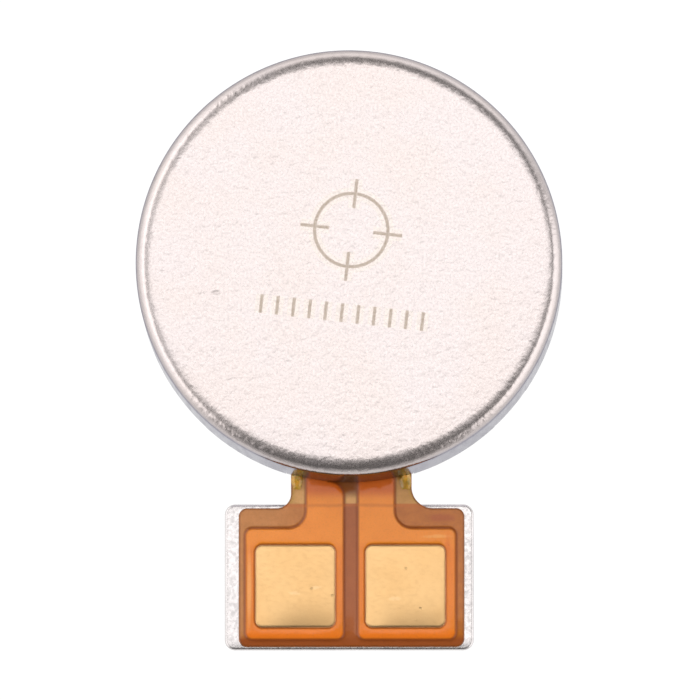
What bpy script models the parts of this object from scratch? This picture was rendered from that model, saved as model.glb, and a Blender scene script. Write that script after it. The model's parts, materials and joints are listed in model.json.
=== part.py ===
"""Coin-type linear vibration motor with a flexible circuit tail.

The frame has its origin at the centre of the bracket's underside, +Z up through the
case's top face, and the tail along -Y. All lengths are in metres.

Inside the case a heavy ring rides on a flat three-arm spring. The ring carries a yoke,
a magnet and a pole plate, and a voice coil on the bracket drives them up and down.
"""

import math

import bmesh
import bpy
from mathutils import Matrix, Vector

MM = 0.001
WELD = 0.0001 * MM

# Case and bracket
CASE_RADIUS = 5.0 * MM
CASE_HEIGHT = 3.0 * MM
SHEET = 0.2 * MM
CASE_ROUNDING = 0.27 * MM
SKIRT_GAP = 0.02 * MM
EAR_DIRECTIONS = (40.0, 140.0, 220.7, 319.3)
EAR_HALF_ANGLE = 6.0
TONGUE_DIRECTION = 270.0
TONGUE_HALF_ANGLE = 17.4
NOTCH_HALF_WIDTH = 0.56 * MM
NOTCH_HEIGHT = SHEET + 0.03 * MM
EXIT_HALF_WIDTH = 1.56 * MM
EXIT_HEIGHT = 0.42 * MM

# Layers of the flexible circuit, each a hair above the one below it
LAYER_GAP = 0.005 * MM
ADHESIVE_THICKNESS = 0.025 * MM
BASE_FILM_THICKNESS = 0.03 * MM
COPPER_THICKNESS = 0.03 * MM
COVERLAY_THICKNESS = 0.035 * MM
GOLD_THICKNESS = 0.025 * MM
ADHESIVE_LOW = SHEET + LAYER_GAP
BASE_FILM_LOW = ADHESIVE_LOW + ADHESIVE_THICKNESS + LAYER_GAP
COPPER_LOW = BASE_FILM_LOW + BASE_FILM_THICKNESS + LAYER_GAP
COVERLAY_LOW = COPPER_LOW + COPPER_THICKNESS + LAYER_GAP
COVERLAY_TOP = COVERLAY_LOW + COVERLAY_THICKNESS

# Outline of the flexible circuit
LOBE_RADIUS = 2.95 * MM
LOBE_HOLE_RADIUS = 1.2 * MM
NECK_LEFT = -1.39 * MM
NECK_RIGHT = 1.45 * MM
TAB_LEFT = -2.62 * MM
TAB_RIGHT = 2.69 * MM
TAB_TOP = -5.6 * MM
TAB_BOTTOM = -8.87 * MM
TAB_CORNER = 0.2 * MM
NECK_FILLET_LEFT = 0.34 * MM
NECK_FILLET_RIGHT = 0.5 * MM

# Copper
TRACE_TOP = -6.075 * MM
TRACE_BOTTOM = -8.695 * MM
TRACE_CORNER = 0.17 * MM
TRACE_FILLET = 0.42 * MM
LEFT_TRACE_EDGES = (-2.465 * MM, -1.035 * MM, -0.146 * MM)
RIGHT_TRACE_EDGES = (0.185 * MM, 1.05 * MM, 2.49 * MM)
LEFT_TRACE_STEP = -4.96 * MM
LEFT_TRACE_INNER = -0.52 * MM
LAND_X = 0.62 * MM
LAND_Y = -3.62 * MM
LAND_HALF_LENGTH = 0.36 * MM
LAND_HALF_WIDTH = 0.42 * MM
LAND_WINDOW_RADIUS = 0.3 * MM

# Contact pads and their stiffener plate
PAD_WIDTH = 1.85 * MM
PAD_LENGTH = 1.91 * MM
PAD_CORNER = 0.155 * MM
PAD_GAP = 0.02 * MM
PAD_LEFT_X = -1.288 * MM
PAD_RIGHT_X = 1.303 * MM
PAD_Y = -7.44 * MM
STIFFENER_X = -0.02 * MM
STIFFENER_HALF_WIDTH = 2.93 * MM
STIFFENER_TOP = -5.5 * MM
STIFFENER_BOTTOM = -8.94 * MM
STIFFENER_CORNER = 0.25 * MM
STIFFENER_EDGE = 0.03 * MM

# Axis about which the tail bends: across the free stretch of the neck
BEND_Y = -5.33 * MM
BEND_Z = 0.285 * MM

# Coil on the bracket
COIL_INNER_RADIUS = 2.1 * MM
COIL_OUTER_RADIUS = 2.75 * MM
COIL_BOND_LOW = COVERLAY_TOP + LAYER_GAP
COIL_BOND_THICKNESS = 0.02 * MM
COIL_LOW = COIL_BOND_LOW + COIL_BOND_THICKNESS + LAYER_GAP
COIL_TOP = 1.6 * MM
COIL_CORNER = 0.06 * MM
LEAD_RADIUS = 0.035 * MM
LEAD_HEIGHT = 0.46 * MM
SOLDER_RADIUS = 0.26 * MM
SOLDER_TOP = 0.5 * MM

# Moving mass, at rest
MASS_LOW = 0.9 * MM
MASS_TOP = 2.3 * MM
MAGNET_RADIUS = 1.95 * MM
POLE_LOW = 0.8 * MM
POLE_THICKNESS = 0.3 * MM
YOKE_INNER_RADIUS = 2.95 * MM
YOKE_OUTER_RADIUS = 3.25 * MM
YOKE_TOP_THICKNESS = 0.3 * MM
WEIGHT_RADIUS = 4.45 * MM
WEIGHT_STEP = 0.1 * MM
WEIGHT_STEP_RADIUS = 4.32 * MM
PRESS_GAP = 0.01 * MM

# Flat spring: hub on the case's ceiling, rim on the weight
SPRING_THICKNESS = 0.1 * MM
SPRING_GAP = 0.01 * MM
HUB_INNER_RADIUS = 1.0 * MM
HUB_OUTER_RADIUS = 1.55 * MM
RIM_INNER_RADIUS = 3.72 * MM
RIM_OUTER_RADIUS = 4.28 * MM
SPRING_ARMS = 3
ARM_TWIST = math.radians(150)
ARM_STEPS = 14
SPRING_SECTORS = 48
ARM_SECTORS = 6

# Dampers
LOWER_DAMPER_RADIUS = 0.9 * MM
LOWER_DAMPER_TOP = 0.42 * MM
UPPER_DAMPER_RADIUS = 0.8 * MM
UPPER_DAMPER_THICKNESS = 0.14 * MM

# Glue beads where the tail leaves the case
BEAD_X = 1.2 * MM
BEAD_Y = -5.13 * MM
BEAD_SIZE = (0.38 * MM, 0.22 * MM, 0.09 * MM)

CASE_SEGMENTS = 72
INNER_SEGMENTS = 48
ARC_STEP = math.radians(15)


def clear_scene():
    for obj in list(bpy.data.objects):
        bpy.data.objects.remove(obj, do_unlink=True)


def new_collection(name):
    collection = bpy.data.collections.new(name)
    bpy.context.scene.collection.children.link(collection)
    return collection


def new_material(name, colour, roughness, metallic):
    material = bpy.data.materials.new(name)
    material.use_nodes = True
    shader = material.node_tree.nodes["Principled BSDF"]
    shader.inputs["Base Color"].default_value = (*colour, 1.0)
    shader.inputs["Roughness"].default_value = roughness
    shader.inputs["Metallic"].default_value = metallic
    return material


def add_object(name, data, finish):
    """Links one sub-part with a material of its own; finish is colour, roughness, metallic."""
    obj = bpy.data.objects.new(name, data)
    if finish:
        data.materials.append(new_material(name, *finish))
        parts.objects.link(obj)
    else:
        obj.hide_render = True
        obj.display_type = "WIRE"
        cutters.objects.link(obj)
    return obj


def smooth(mesh):
    mesh.shade_smooth()
    mesh.set_sharp_from_angle(angle=math.radians(35))


def arc(centre, radius, start, end, step=ARC_STEP):
    """Points on a circle from one angle to another, both ends included."""
    steps = max(1, round(abs(end - start) / step))
    points = []
    for index in range(steps + 1):
        angle = start + (end - start) * index / steps
        points.append((centre[0] + radius * math.cos(angle), centre[1] + radius * math.sin(angle)))
    return points


def round_corners(corners, step=ARC_STEP):
    """A closed outline of (x, y, radius) corners, with each corner turned into its arc."""
    outline = []
    for index, (x, y, radius) in enumerate(corners):
        here = Vector((x, y))
        if radius == 0:
            outline.append((x, y))
            continue
        back = (Vector(corners[index - 1][:2]) - here).normalized()
        ahead = (Vector(corners[(index + 1) % len(corners)][:2]) - here).normalized()
        half = back.angle(ahead) / 2
        centre = here + (back + ahead).normalized() * radius / math.sin(half)
        first = here + back * radius / math.tan(half) - centre
        last = here + ahead * radius / math.tan(half) - centre
        turn = first.angle_signed(last)
        start = math.atan2(first.y, first.x)
        outline += arc(centre, radius, start, start - turn, step)
    return outline


def circle(radius, centre=(0.0, 0.0), step=math.radians(7.5)):
    return arc(centre, radius, 0.0, math.tau - step, step)


def rectangle(centre_x, centre_y, width, length, radius):
    left, right = centre_x - width / 2, centre_x + width / 2
    low, high = centre_y - length / 2, centre_y + length / 2
    corners = [(left, low, radius), (right, low, radius), (right, high, radius), (left, high, radius)]
    return round_corners(corners)


def plate(name, outlines, low, thickness, finish, edge=0.0):
    """A flat piece between two heights; the first outline is its edge, the others are holes."""
    curve = bpy.data.curves.new(name, "CURVE")
    curve.dimensions = "2D"
    curve.fill_mode = "BOTH"
    curve.extrude = thickness / 2
    for outline in outlines:
        spline = curve.splines.new("POLY")
        spline.points.add(len(outline) - 1)
        for point, (x, y) in zip(spline.points, outline):
            point.co = (x, y, 0.0, 1.0)
        spline.use_cyclic_u = True
    flat = bpy.data.objects.new(name + "_outline", curve)
    flat.location.z = low + thickness / 2
    parts.objects.link(flat)
    graph = bpy.context.evaluated_depsgraph_get()
    mesh = bpy.data.meshes.new_from_object(flat.evaluated_get(graph))
    mesh.transform(flat.matrix_world)
    bpy.data.objects.remove(flat, do_unlink=True)
    bpy.data.curves.remove(curve)
    weld(mesh)
    mesh.materials.clear()
    obj = add_object(name, mesh, finish)
    if edge:
        bevel = obj.modifiers.new("edge", "BEVEL")
        bevel.width = edge
        bevel.segments = 2
        bevel.limit_method = "ANGLE"
        bevel.angle_limit = math.radians(60)
    return obj


def weld(mesh):
    shape = bmesh.new()
    shape.from_mesh(mesh)
    bmesh.ops.remove_doubles(shape, verts=shape.verts, dist=WELD)
    shape.to_mesh(mesh)
    shape.free()


def turned(name, profile, closed, segments, finish):
    """A turned piece. Its profile runs along the top, down the outside and back inside."""
    mesh = bpy.data.meshes.new(name)
    points = [(x, 0.0, z) for x, z in profile]
    edges = [(index, index + 1) for index in range(len(points) - 1)]
    if closed:
        edges.append((len(points) - 1, 0))
    mesh.from_pydata(points, edges, [])
    obj = add_object(name, mesh, finish)
    screw = obj.modifiers.new("turn", "SCREW")
    screw.axis = "Z"
    screw.steps = segments
    screw.render_steps = segments
    screw.use_merge_vertices = True
    screw.merge_threshold = WELD
    return obj


def disc(name, radius, low, high, finish, edge=0.0):
    profile = [(0.0, high), (radius - edge, high)]
    if edge:
        profile.append((radius, high - edge))
        profile.append((radius, low + edge))
    else:
        profile.append((radius, high))
    profile += [(radius - edge, low), (0.0, low)]
    return turned(name, profile, False, INNER_SEGMENTS, finish)


def dome(name, centre, low, size, finish):
    """A flat-bottomed blob: width, length and height in size."""
    shape = bmesh.new()
    bmesh.ops.create_uvsphere(shape, u_segments=20, v_segments=12, radius=1.0)
    everything = shape.verts[:] + shape.edges[:] + shape.faces[:]
    cut = bmesh.ops.bisect_plane(
        shape, geom=everything, dist=0.001, plane_co=(0, 0, 0), plane_no=(0, 0, 1), clear_inner=True
    )
    rim = [item for item in cut["geom_cut"] if isinstance(item, bmesh.types.BMEdge)]
    bmesh.ops.edgeloop_fill(shape, edges=rim)
    bmesh.ops.recalc_face_normals(shape, faces=shape.faces)
    scale = Matrix.Diagonal((size[0] / 2, size[1] / 2, size[2], 1.0))
    shape.transform(Matrix.Translation((centre[0], centre[1], low)) @ scale)
    mesh = bpy.data.meshes.new(name)
    shape.to_mesh(mesh)
    shape.free()
    smooth(mesh)
    return add_object(name, mesh, finish)


def box_cutter(name, half_width, near, far, low, high, direction):
    """A box that reaches from one radius to another in a direction given in degrees."""
    shape = bmesh.new()
    size = Matrix.Diagonal((far - near, 2 * half_width, high - low, 1.0))
    place = Matrix.Translation(((near + far) / 2, 0.0, (low + high) / 2))
    turn = Matrix.Rotation(math.radians(direction), 4, "Z")
    bmesh.ops.create_cube(shape, size=1.0, matrix=turn @ place @ size)
    mesh = bpy.data.meshes.new(name)
    shape.to_mesh(mesh)
    shape.free()
    return add_object(name, mesh, None)


def cut_away(obj, cutter):
    cut = obj.modifiers.new(cutter.name, "BOOLEAN")
    cut.operation = "DIFFERENCE"
    cut.solver = "EXACT"
    cut.object = cutter


def make_case():
    outer, inner = CASE_RADIUS, CASE_RADIUS - SHEET
    ceiling = CASE_HEIGHT - SHEET
    inner_rounding = CASE_ROUNDING - SHEET
    shoulder = CASE_RADIUS - CASE_ROUNDING
    centre = (shoulder, CASE_HEIGHT - CASE_ROUNDING)
    profile = [(0.0, CASE_HEIGHT)]
    profile += arc(centre, CASE_ROUNDING, math.pi / 2, 0.0)
    profile += [(outer, 0.0), (inner, 0.0)]
    profile += arc(centre, inner_rounding, 0.0, math.pi / 2, math.radians(45))
    profile.append((0.0, ceiling))
    case = turned("case", profile, False, CASE_SEGMENTS, ((0.83, 0.8, 0.78), 0.38, 1.0))
    below = -SHEET
    beyond = CASE_RADIUS + SHEET
    for number, direction in enumerate(EAR_DIRECTIONS):
        name = f"ear_notch_{number}"
        notch = box_cutter(
            name, NOTCH_HALF_WIDTH, inner - SHEET, beyond, below, NOTCH_HEIGHT, direction
        )
        cut_away(case, notch)
    way_out = box_cutter(
        "tail_exit", EXIT_HALF_WIDTH, inner - SHEET, beyond, below, EXIT_HEIGHT, TONGUE_DIRECTION
    )
    cut_away(case, way_out)


def make_bracket():
    """A disc inside the skirt, with ears and a tongue that fill the notches."""
    ears = [(direction, EAR_HALF_ANGLE) for direction in EAR_DIRECTIONS]
    ears.append((TONGUE_DIRECTION, TONGUE_HALF_ANGLE))
    ears.sort()
    disc_radius = CASE_RADIUS - SHEET - SKIRT_GAP
    step = math.radians(5)
    outline = []
    for index, (direction, half_angle) in enumerate(ears):
        start = math.radians(direction - half_angle)
        end = math.radians(direction + half_angle)
        following = ears[(index + 1) % len(ears)]
        after = math.radians(following[0] - following[1])
        if after < end:
            after += math.tau
        outline += arc((0.0, 0.0), CASE_RADIUS, start, end, step)
        outline += arc((0.0, 0.0), disc_radius, end, after, step)
    plate("bracket", [outline], 0.0, SHEET, ((0.7, 0.69, 0.68), 0.35, 1.0))


def lobe_arc(radius, left, right):
    """The round end inside the case, from the neck's right edge round to its left edge."""
    start = math.asin(right / radius) - math.pi / 2
    end = math.asin(left / radius) + 1.5 * math.pi
    return arc((0.0, 0.0), radius, start, end, math.radians(10))


def flex_outline():
    lobe = lobe_arc(LOBE_RADIUS, NECK_LEFT, NECK_RIGHT)
    corners = [(x, y, 0.0) for x, y in lobe]
    corners += [
        (NECK_LEFT, TAB_TOP, NECK_FILLET_LEFT),
        (TAB_LEFT, TAB_TOP, TAB_CORNER),
        (TAB_LEFT, TAB_BOTTOM, TAB_CORNER),
        (TAB_RIGHT, TAB_BOTTOM, TAB_CORNER),
        (TAB_RIGHT, TAB_TOP, TAB_CORNER),
        (NECK_RIGHT, TAB_TOP, NECK_FILLET_RIGHT),
    ]
    return round_corners(corners)


def left_trace_outline():
    outer, neck, inner = LEFT_TRACE_EDGES
    land_low = LAND_Y - LAND_HALF_LENGTH
    land_high = LAND_Y + LAND_HALF_LENGTH
    land_right = -LAND_X + LAND_HALF_WIDTH
    return round_corners([
        (neck, land_high, TRACE_CORNER),
        (neck, TRACE_TOP, TRACE_FILLET),
        (outer, TRACE_TOP, TRACE_CORNER),
        (outer, TRACE_BOTTOM, TRACE_CORNER),
        (inner, TRACE_BOTTOM, TRACE_CORNER),
        (inner, LEFT_TRACE_STEP, inner - LEFT_TRACE_INNER - 0.01 * MM),
        (LEFT_TRACE_INNER, LEFT_TRACE_STEP, 0.0),
        (LEFT_TRACE_INNER, land_low, 0.0),
        (land_right, land_low, TRACE_CORNER),
        (land_right, land_high, TRACE_CORNER),
    ])


def right_trace_outline():
    inner, neck, outer = RIGHT_TRACE_EDGES
    land_high = LAND_Y + LAND_HALF_LENGTH
    return round_corners([
        (inner, land_high, TRACE_CORNER),
        (inner, TRACE_BOTTOM, TRACE_CORNER),
        (outer, TRACE_BOTTOM, TRACE_CORNER),
        (outer, TRACE_TOP, TRACE_CORNER),
        (neck, TRACE_TOP, TRACE_FILLET),
        (neck, land_high, TRACE_CORNER),
    ])


def make_flex():
    """The flexible circuit from the bracket out to the tab, layer on layer."""
    lobe_hole = circle(LOBE_HOLE_RADIUS)
    amber = (0.55, 0.2, 0.04)
    copper = (0.8, 0.4, 0.22)
    outline = flex_outline()
    plate("flex_base_film", [outline, lobe_hole], BASE_FILM_LOW, BASE_FILM_THICKNESS, (amber, 0.3, 0.0))
    plate("trace_left", [left_trace_outline()], COPPER_LOW, COPPER_THICKNESS, (copper, 0.35, 1.0))
    plate("trace_right", [right_trace_outline()], COPPER_LOW, COPPER_THICKNESS, (copper, 0.35, 1.0))
    windows = []
    for x in (PAD_LEFT_X, PAD_RIGHT_X):
        width, length = PAD_WIDTH + 2 * PAD_GAP, PAD_LENGTH + 2 * PAD_GAP
        windows.append(rectangle(x, PAD_Y, width, length, PAD_CORNER + PAD_GAP))
    for x in (-LAND_X, LAND_X):
        windows.append(circle(LAND_WINDOW_RADIUS, (x, LAND_Y), math.radians(20)))
    layers = [outline, lobe_hole] + windows
    plate("flex_coverlay", layers, COVERLAY_LOW, COVERLAY_THICKNESS, (amber, 0.2, 0.0))

    inner_end = lobe_arc(LOBE_RADIUS, NECK_LEFT, NECK_RIGHT)
    edge = -(CASE_RADIUS - SHEET)
    inner_end += [(NECK_LEFT, edge), (NECK_RIGHT, edge)]
    glue = (0.75, 0.68, 0.5)
    plate("flex_adhesive", [inner_end, lobe_hole], ADHESIVE_LOW, ADHESIVE_THICKNESS, (glue, 0.5, 0.0))


def make_tab(bend_axis):
    """The rigid end of the tail: stiffener, its adhesive and the two gold pads."""
    middle = (STIFFENER_TOP + STIFFENER_BOTTOM) / 2
    length = STIFFENER_TOP - STIFFENER_BOTTOM
    outline = rectangle(STIFFENER_X, middle, 2 * STIFFENER_HALF_WIDTH, length, STIFFENER_CORNER)
    steel = ((0.78, 0.77, 0.76), 0.3, 1.0)
    pieces = [plate("stiffener_plate", [outline], 0.0, SHEET, steel, STIFFENER_EDGE)]
    glue_outline = rectangle(
        (TAB_LEFT + TAB_RIGHT) / 2,
        (TAB_TOP + TAB_BOTTOM) / 2,
        TAB_RIGHT - TAB_LEFT,
        TAB_TOP - TAB_BOTTOM,
        TAB_CORNER,
    )
    glue = ((0.75, 0.68, 0.5), 0.5, 0.0)
    pieces.append(plate("stiffener_adhesive", [glue_outline], ADHESIVE_LOW, ADHESIVE_THICKNESS, glue))
    gold = ((1.0, 0.7, 0.35), 0.25, 1.0)
    for name, x in (("pad_left", PAD_LEFT_X), ("pad_right", PAD_RIGHT_X)):
        pad = rectangle(x, PAD_Y, PAD_WIDTH, PAD_LENGTH, PAD_CORNER)
        pieces.append(plate(name, [pad], COVERLAY_LOW, GOLD_THICKNESS, gold))
    for piece in pieces:
        piece.data.transform(Matrix.Translation(-bend_axis.location))
        piece.parent = bend_axis


def make_coil():
    corners = [
        (COIL_INNER_RADIUS, COIL_TOP, COIL_CORNER),
        (COIL_OUTER_RADIUS, COIL_TOP, COIL_CORNER),
        (COIL_OUTER_RADIUS, COIL_LOW, COIL_CORNER),
        (COIL_INNER_RADIUS, COIL_LOW, COIL_CORNER),
    ]
    profile = round_corners(corners, math.radians(45))
    wire = ((0.75, 0.33, 0.14), 0.4, 1.0)
    turned("voice_coil", profile, True, INNER_SEGMENTS, wire)
    bond_top = COIL_BOND_LOW + COIL_BOND_THICKNESS
    bond = [
        (COIL_INNER_RADIUS, bond_top),
        (COIL_OUTER_RADIUS, bond_top),
        (COIL_OUTER_RADIUS, COIL_BOND_LOW),
        (COIL_INNER_RADIUS, COIL_BOND_LOW),
    ]
    turned("coil_bond", bond, True, INNER_SEGMENTS, ((0.6, 0.5, 0.3), 0.4, 0.0))
    for side, name in ((-1, "left"), (1, "right")):
        make_lead(name, side, wire)
        low = COPPER_LOW + COPPER_THICKNESS + LAYER_GAP
        size = (2 * SOLDER_RADIUS, 2 * SOLDER_RADIUS, SOLDER_TOP - low)
        tin = ((0.7, 0.7, 0.7), 0.3, 1.0)
        dome("solder_" + name, (side * LAND_X, LAND_Y), low, size, tin)


def make_lead(name, side, finish):
    """A coil end: from the coil's outer face out to its solder joint."""
    start_x = side * 0.35 * MM
    start_y = -math.sqrt(COIL_OUTER_RADIUS**2 - start_x**2) - LEAD_RADIUS - SPRING_GAP
    end_x = side * LAND_X
    end_y = LAND_Y + SOLDER_RADIUS + LEAD_RADIUS
    points = [
        (start_x, start_y, LEAD_HEIGHT),
        (start_x + side * 0.06 * MM, start_y - 0.1 * MM, LEAD_HEIGHT),
        (start_x + side * 0.16 * MM, start_y - 0.24 * MM, LEAD_HEIGHT - 0.02 * MM),
        (end_x, end_y, LEAD_HEIGHT - 0.03 * MM),
    ]
    curve = bpy.data.curves.new("coil_lead_" + name, "CURVE")
    curve.dimensions = "3D"
    curve.bevel_depth = LEAD_RADIUS
    curve.bevel_resolution = 2
    curve.use_fill_caps = True
    spline = curve.splines.new("POLY")
    spline.points.add(len(points) - 1)
    for target, point in zip(spline.points, points):
        target.co = (*point, 1.0)
    add_object("coil_lead_" + name, curve, finish)


def make_moving_mass():
    magnet_low = POLE_LOW + POLE_THICKNESS + PRESS_GAP
    magnet_top = MASS_TOP - YOKE_TOP_THICKNESS - PRESS_GAP
    iron = ((0.45, 0.45, 0.46), 0.4, 1.0)
    disc("pole_plate", MAGNET_RADIUS, POLE_LOW, POLE_LOW + POLE_THICKNESS, iron, 0.04 * MM)
    nickel = ((0.6, 0.58, 0.55), 0.25, 1.0)
    disc("magnet", MAGNET_RADIUS, magnet_low, magnet_top, nickel, 0.06 * MM)

    edge = 0.08 * MM
    ceiling = MASS_TOP - YOKE_TOP_THICKNESS
    yoke = [
        (0.0, MASS_TOP),
        (YOKE_OUTER_RADIUS - edge, MASS_TOP),
        (YOKE_OUTER_RADIUS, MASS_TOP - edge),
        (YOKE_OUTER_RADIUS, MASS_LOW),
        (YOKE_INNER_RADIUS, MASS_LOW),
        (YOKE_INNER_RADIUS, ceiling),
        (0.0, ceiling),
    ]
    turned("yoke", yoke, False, INNER_SEGMENTS, iron)

    bore = YOKE_OUTER_RADIUS + PRESS_GAP
    weight = [
        (bore, MASS_TOP),
        (WEIGHT_STEP_RADIUS, MASS_TOP),
        (WEIGHT_STEP_RADIUS, MASS_TOP - WEIGHT_STEP),
        (WEIGHT_RADIUS, MASS_TOP - WEIGHT_STEP),
        (WEIGHT_RADIUS, MASS_LOW + edge),
        (WEIGHT_RADIUS - edge, MASS_LOW),
        (bore, MASS_LOW),
    ]
    turned("weight_ring", weight, True, INNER_SEGMENTS, ((0.35, 0.34, 0.33), 0.45, 1.0))


def spring_height(radius):
    """Middle height of the spring: level at the hub and the rim, eased in between."""
    hub = CASE_HEIGHT - SHEET - SPRING_GAP - SPRING_THICKNESS / 2
    rim = MASS_TOP + SPRING_GAP + SPRING_THICKNESS / 2
    share = (radius - HUB_OUTER_RADIUS) / (RIM_INNER_RADIUS - HUB_OUTER_RADIUS)
    share = min(1.0, max(0.0, share))
    return hub + (rim - hub) * share * share * (3 - 2 * share)


def make_spring():
    """Hub ring, three spiral arms and rim ring, as one twisted polar grid with thickness."""
    shape = bmesh.new()
    radii = [HUB_INNER_RADIUS]
    twists = [0.0]
    for index in range(ARM_STEPS + 1):
        share = index / ARM_STEPS
        radii.append(HUB_OUTER_RADIUS + (RIM_INNER_RADIUS - HUB_OUTER_RADIUS) * share)
        twists.append(ARM_TWIST * share)
    radii.append(RIM_OUTER_RADIUS)
    twists.append(ARM_TWIST)
    rings = []
    for radius, twist in zip(radii, twists):
        ring = []
        for sector in range(SPRING_SECTORS):
            angle = twist + math.tau * sector / SPRING_SECTORS
            point = (radius * math.cos(angle), radius * math.sin(angle), spring_height(radius))
            ring.append(shape.verts.new(point))
        rings.append(ring)
    arm_pitch = SPRING_SECTORS // SPRING_ARMS
    for row in range(len(rings) - 1):
        whole = row in (0, len(rings) - 2)
        for sector in range(SPRING_SECTORS):
            if not whole and sector % arm_pitch >= ARM_SECTORS:
                continue
            following = (sector + 1) % SPRING_SECTORS
            inner, outer = rings[row], rings[row + 1]
            shape.faces.new((inner[sector], outer[sector], outer[following], inner[following]))
    loose = [vert for vert in shape.verts if not vert.link_faces]
    bmesh.ops.delete(shape, geom=loose, context="VERTS")
    mesh = bpy.data.meshes.new("flat_spring")
    shape.to_mesh(mesh)
    shape.free()
    spring = add_object("flat_spring", mesh, ((0.62, 0.6, 0.57), 0.3, 1.0))
    thicken = spring.modifiers.new("thickness", "SOLIDIFY")
    thicken.thickness = SPRING_THICKNESS
    thicken.offset = 0.0


def make_dampers():
    foam = ((0.05, 0.05, 0.055), 0.8, 0.0)
    disc("lower_damper", LOWER_DAMPER_RADIUS, SHEET + PRESS_GAP, LOWER_DAMPER_TOP, foam)
    upper_low = MASS_TOP + PRESS_GAP
    disc("upper_damper", UPPER_DAMPER_RADIUS, upper_low, upper_low + UPPER_DAMPER_THICKNESS, foam)


def make_glue_beads():
    glue = ((0.55, 0.4, 0.06), 0.25, 0.0)
    low = COVERLAY_TOP + LAYER_GAP
    for side, name in ((-1, "left"), (1, "right")):
        dome("exit_sealant_" + name, (side * BEAD_X, BEAD_Y), low, BEAD_SIZE, glue)


clear_scene()
parts = new_collection("coin_motor")
cutters = new_collection("cutters")
tail_bend_axis = bpy.data.objects.new("tail_bend_axis", None)
tail_bend_axis.location = (0.0, BEND_Y, BEND_Z)
parts.objects.link(tail_bend_axis)

make_case()
make_bracket()
make_flex()
make_tab(tail_bend_axis)
make_coil()
make_moving_mass()
make_spring()
make_dampers()
make_glue_beads()
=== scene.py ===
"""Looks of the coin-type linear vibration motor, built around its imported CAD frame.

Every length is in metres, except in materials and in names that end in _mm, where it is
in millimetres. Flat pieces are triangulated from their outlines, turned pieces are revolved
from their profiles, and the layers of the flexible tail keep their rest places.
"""

import json
import math

import bmesh
import bpy
import numpy as np
from mathutils import Matrix, Vector, geometry, noise


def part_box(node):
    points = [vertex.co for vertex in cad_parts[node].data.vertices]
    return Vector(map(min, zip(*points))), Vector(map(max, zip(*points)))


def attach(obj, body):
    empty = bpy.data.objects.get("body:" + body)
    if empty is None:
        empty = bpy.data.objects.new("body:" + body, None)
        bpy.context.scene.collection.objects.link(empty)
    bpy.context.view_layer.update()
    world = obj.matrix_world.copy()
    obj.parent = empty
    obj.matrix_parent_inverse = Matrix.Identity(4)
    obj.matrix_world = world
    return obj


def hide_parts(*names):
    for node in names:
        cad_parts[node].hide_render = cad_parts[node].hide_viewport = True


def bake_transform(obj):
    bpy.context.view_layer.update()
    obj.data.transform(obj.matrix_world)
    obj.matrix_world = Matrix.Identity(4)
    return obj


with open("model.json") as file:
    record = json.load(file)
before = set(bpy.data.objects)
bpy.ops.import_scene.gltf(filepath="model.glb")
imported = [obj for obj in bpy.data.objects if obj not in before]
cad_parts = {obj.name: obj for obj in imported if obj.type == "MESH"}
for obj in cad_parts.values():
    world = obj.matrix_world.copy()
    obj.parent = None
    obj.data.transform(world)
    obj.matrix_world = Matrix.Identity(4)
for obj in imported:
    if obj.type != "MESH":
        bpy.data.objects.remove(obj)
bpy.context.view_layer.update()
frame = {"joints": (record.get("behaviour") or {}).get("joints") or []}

MM = 0.001


# ---- sizes from the frame

CASE_RADIUS, _, CASE_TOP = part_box("case")[1]
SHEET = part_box("bracket")[1].z
CASE_ROUNDING = 0.27 * MM
SKIRT_GAP = 0.02 * MM
EAR_GAP = 0.004 * MM
EAR_DIRECTIONS = (40.0, 140.0, 220.7, 319.3)
EAR_HALF_ANGLE = 6.0
TONGUE_DIRECTION = 270.0
TONGUE_HALF_ANGLE = 17.4
NOTCH_HALF_WIDTH = 0.56 * MM
NOTCH_HEIGHT = 0.23 * MM
EXIT_HALF_WIDTH = 1.505 * MM
EXIT_HEIGHT = 0.42 * MM

FILM_LOW, FILM_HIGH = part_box("flex_coverlay")
BASE_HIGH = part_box("flex_base_film")[1]
COPPER_LOW, COPPER_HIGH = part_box("trace_left")
PLATE_LOW, PLATE_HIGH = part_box("stiffener_plate")

LOBE_RADIUS = FILM_HIGH.y
LOBE_HOLE_RADIUS = 1.2 * MM
NECK_LEFT = -1.39 * MM
NECK_RIGHT = 1.45 * MM
TAB_LEFT = -2.62 * MM
TAB_RIGHT = 2.69 * MM
TAB_TOP = -5.6 * MM
TAB_BOTTOM = FILM_LOW.y
TAB_CORNER = 0.2 * MM
NECK_FILLET_LEFT = 0.34 * MM
NECK_FILLET_RIGHT = 0.5 * MM

TRACE_TOP = -6.075 * MM
TRACE_BOTTOM = COPPER_LOW.y
TRACE_CORNER = 0.17 * MM
TRACE_FILLET = 0.42 * MM
LEFT_TRACE_EDGES = (COPPER_LOW.x, -1.035 * MM, COPPER_HIGH.x)
RIGHT_TRACE_EDGES = (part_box("trace_right")[0].x, 1.05 * MM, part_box("trace_right")[1].x)
LEFT_TRACE_STEP = -4.96 * MM
LEFT_TRACE_INNER = -0.52 * MM
LAND_X = 0.62 * MM
LAND_Y = -3.62 * MM
LAND_LOW, LAND_HIGH = LAND_Y - 0.36 * MM, LAND_Y + 0.36 * MM
LAND_RIGHT = -0.2 * MM
LAND_WINDOW_RADIUS = 0.3 * MM
PADS = ("pad_left", "pad_right")
PAD_GAP = 0.02 * MM
PAD_CORNER = 0.155 * MM

HINGE = Vector(next(joint["pos_m"] for joint in frame["joints"] if joint["name"] == "tail_bend"))
BEND_HALF_LENGTH = 0.17 * MM
FLOOR_HEIGHT = -2.9 * MM
GOLD_DINGS = ((1.315, -7.02), (1.66, -7.965), (-0.41, -7.66), (-0.9, -7.5))
GOLD_SCUFFS = ((-0.8, -7.47), (1.06, -7.73), (-1.3, -7.6))


# ---- flat outlines


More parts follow.
